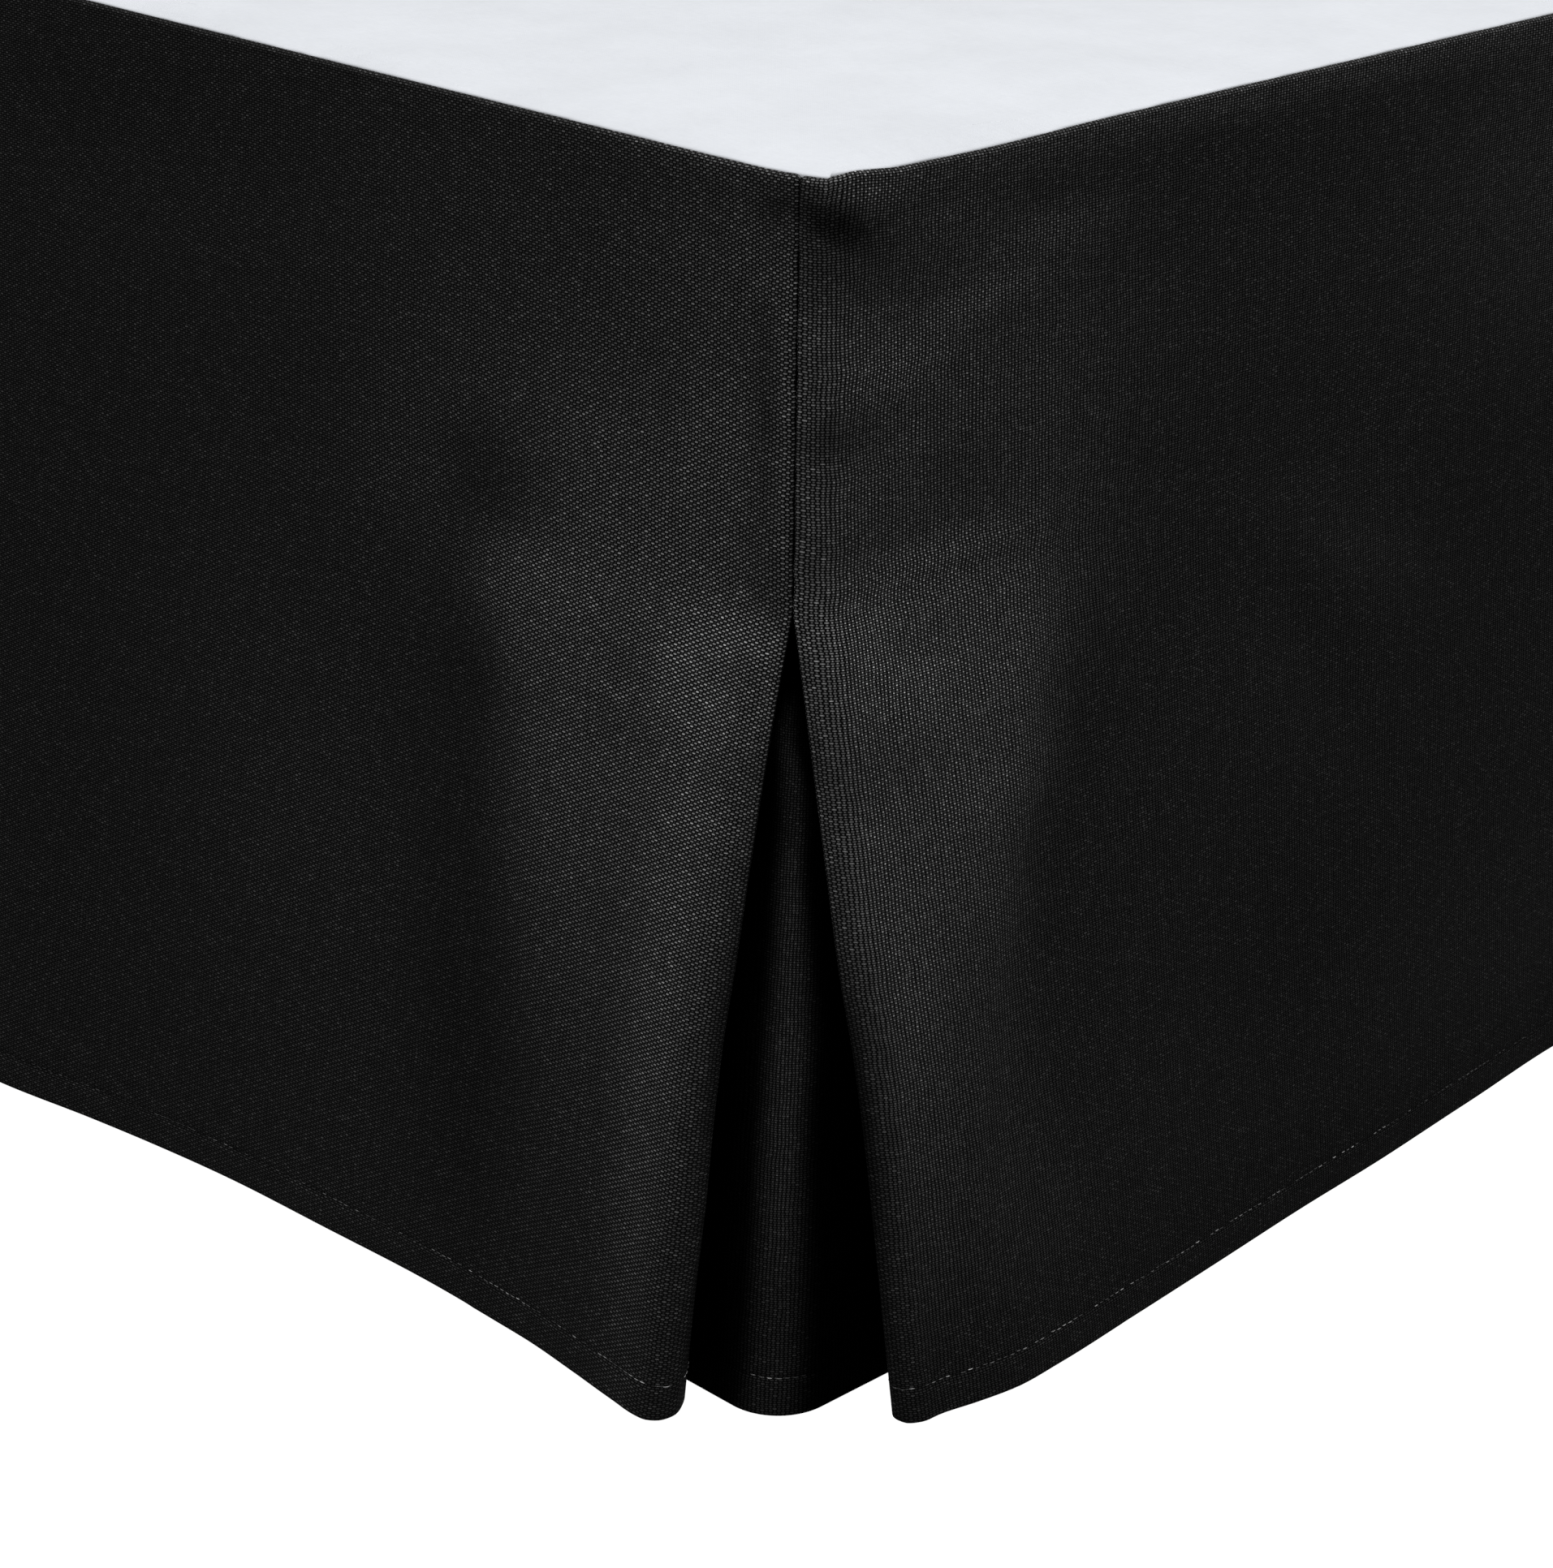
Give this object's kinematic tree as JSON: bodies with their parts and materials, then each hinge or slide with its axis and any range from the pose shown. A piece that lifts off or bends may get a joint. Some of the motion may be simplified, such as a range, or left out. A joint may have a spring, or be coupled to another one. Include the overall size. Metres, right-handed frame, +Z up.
{
  "type": "bed skirt on a bed base",
  "caption": "Black tailored bed skirt with split pleated foot corners and a white platform cloth, hanging round a plain bed base on legs.",
  "frame": {"origin": "middle of the object's floor box, on the floor", "axes": "+Z up; -Y is the foot of the bed and +Y its open head end; +X is the bed's right side seen from its foot"},
  "size_m": [1.5832, 2.0921, 0.39],
  "materials": {
    "black_cloth": "plain weave linen look, matte with small glossy thread lights",
    "white_cloth": "smooth matte cotton",
    "base_cover": "plain woven cover, matte",
    "leg_wood": "satin dark stained beech"
  },
  "bodies": {
    "root": {"platform_cloth": "white_cloth", "drop_foot": "black_cloth", "drop_left": "black_cloth", "drop_right": "black_cloth", "pleat_insert_left": "black_cloth", "pleat_insert_right": "black_cloth", "bed_base": "base_cover", "leg_foot_left": "leg_wood", "leg_foot_right": "leg_wood", "leg_middle_left": "leg_wood", "leg_middle_right": "leg_wood", "leg_head_left": "leg_wood", "leg_head_right": "leg_wood"}
  },
  "joints": []
}
